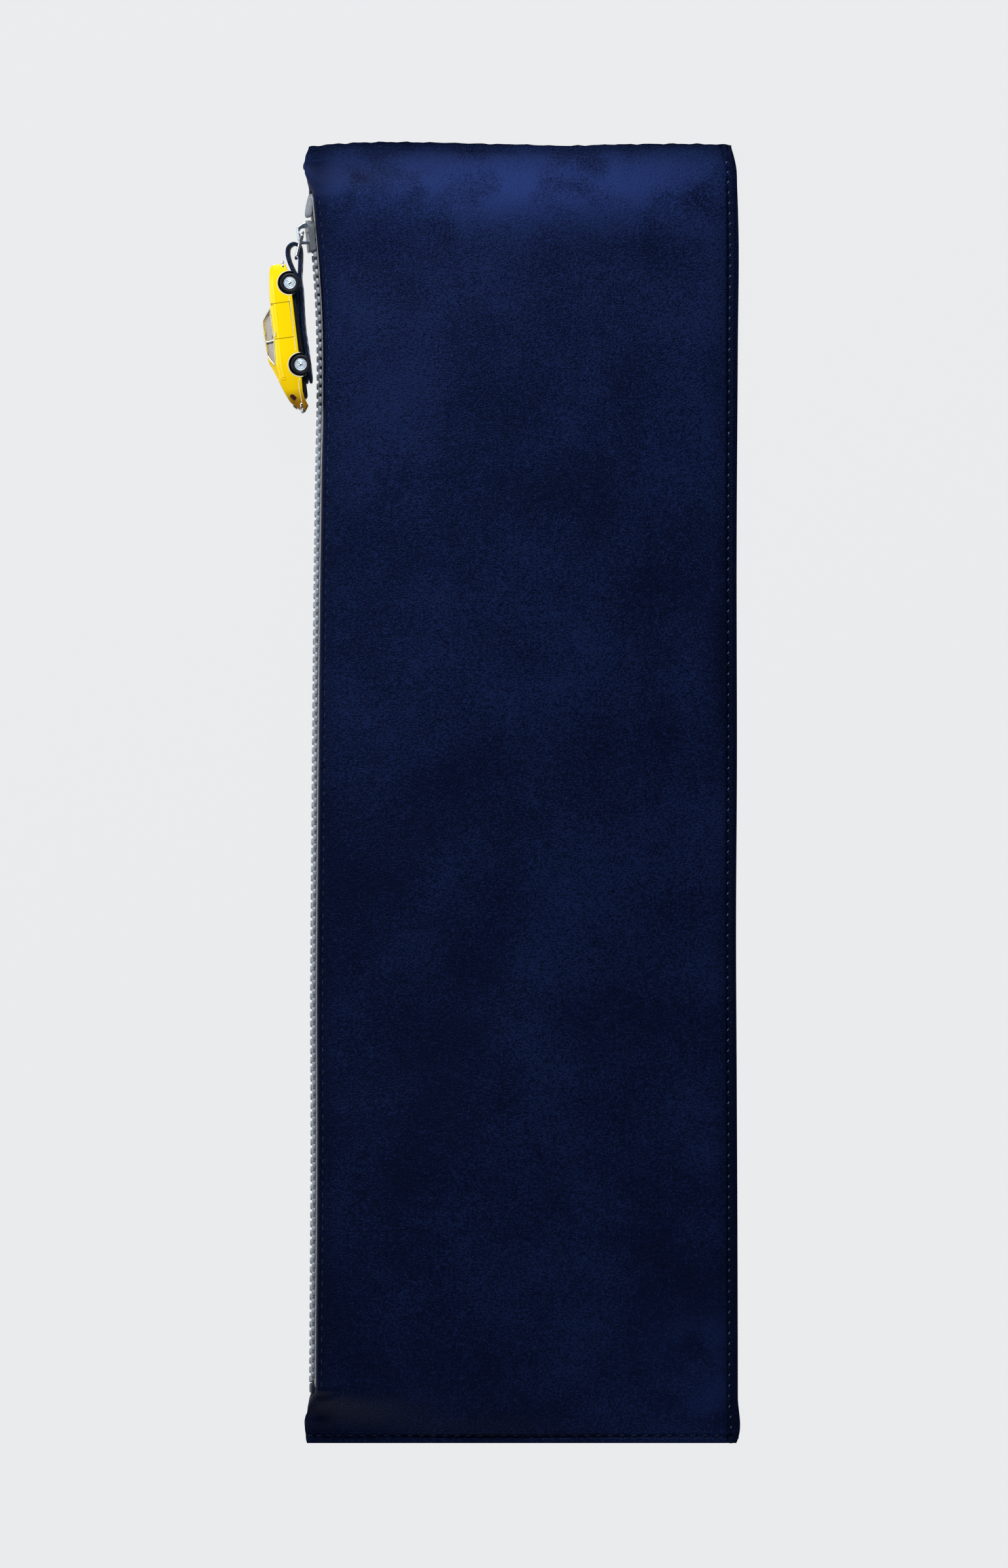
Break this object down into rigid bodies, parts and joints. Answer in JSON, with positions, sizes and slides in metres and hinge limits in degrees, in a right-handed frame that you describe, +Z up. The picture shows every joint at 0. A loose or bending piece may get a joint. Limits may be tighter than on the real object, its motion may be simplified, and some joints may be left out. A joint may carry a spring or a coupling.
{
  "type": "zipped leather pouch",
  "caption": "Long flat leather pouch with a zip along one side; a strap on the zip pull carries a small die-cast toy car.",
  "frame": {"origin": "middle of the flat underside of the back panel, where the pouch lies on a table", "axes": "+Z up out of the front leather, +Y along the pouch to the end where the zip starts to open, -X towards the zip"},
  "size_m": [0.1601, 0.4376, 0.019],
  "materials": {
    "navy_leather": "soft sheen, fine grain",
    "lining_cloth": "matt woven",
    "grey_tape": "matt herringbone weave",
    "grey_teeth": "satin moulded",
    "grey_metal": "satin, grey coated",
    "chrome": "polished",
    "yellow_paint": "gloss enamel",
    "clear_glass": "clear moulding",
    "cabin_plastic": "matt brown",
    "black_base": "satin black",
    "rubber": "black, slight sheen",
    "red_lens": "dark red gloss"
  },
  "bodies": {
    "back_half": {"back_panel": "navy_leather", "back_lining": "lining_cloth", "back_tape": "grey_tape", "back_teeth": "grey_teeth", "back_top_stop": "grey_teeth", "bottom_stop": "grey_metal"},
    "front_half": {"front_panel": "navy_leather", "front_lining": "lining_cloth", "front_tape": "grey_tape", "front_teeth": "grey_teeth", "front_top_stop": "grey_teeth"},
    "slider": {"slider_body": "grey_metal", "slider_bail": "chrome"},
    "ring": {"pull_ring": "chrome"},
    "fob": {"fob_strap": "navy_leather", "car_body": "yellow_paint", "car_glazing": "clear_glass", "car_interior": "cabin_plastic", "car_chassis": "black_base", "front_bumper": "chrome", "rear_bumper": "chrome", "left_head_lamp": "clear_glass", "right_head_lamp": "clear_glass", "left_tail_lamp": "red_lens", "right_tail_lamp": "red_lens"},
    "front_wheels": {"front_axle": "chrome", "front_left_hub": "chrome", "front_left_tyre": "rubber", "front_right_hub": "chrome", "front_right_tyre": "rubber"},
    "rear_wheels": {"rear_axle": "chrome", "rear_left_hub": "chrome", "rear_left_tyre": "rubber", "rear_right_hub": "chrome", "rear_right_tyre": "rubber"}
  },
  "joints": [
    {"name": "zip_slide", "type": "slide", "parent": "back_half", "child": "slider", "axis": [-0.0016, -1, 0], "range_m": [0, 0.379], "deforming": ["front_teeth", "back_teeth", "front_tape", "back_tape"]},
    {"name": "mouth_open", "type": "hinge", "parent": "back_half", "child": "front_half", "pos_m": [0.073, 0, 0.00145], "axis": [0, 1, 0], "range_deg": [0, 8]},
    {"name": "ring_swing", "type": "hinge", "parent": "slider", "child": "ring", "pos_m": [-0.0735, 0.188, 0.008], "axis": [0, 0, 1], "range_deg": [-95, 0]},
    {"name": "fob_swing", "type": "hinge", "parent": "ring", "child": "fob", "pos_m": [-0.07565, 0.17936, 0.008], "axis": [0, 0, 1], "range_deg": [-8, 0]},
    {"name": "front_axle_spin", "type": "hinge", "parent": "fob", "child": "front_wheels", "pos_m": [-0.07773, 0.17088, 0.0097], "axis": [0, 0, 1], "continuous": true},
    {"name": "rear_axle_spin", "type": "hinge", "parent": "fob", "child": "rear_wheels", "pos_m": [-0.07407, 0.14352, 0.0097], "axis": [0, 0, 1], "continuous": true}
  ],
  "couplings": [
    {"joint": "mouth_open", "follows": "zip_slide", "rad_per_m": 0.36837}
  ]
}
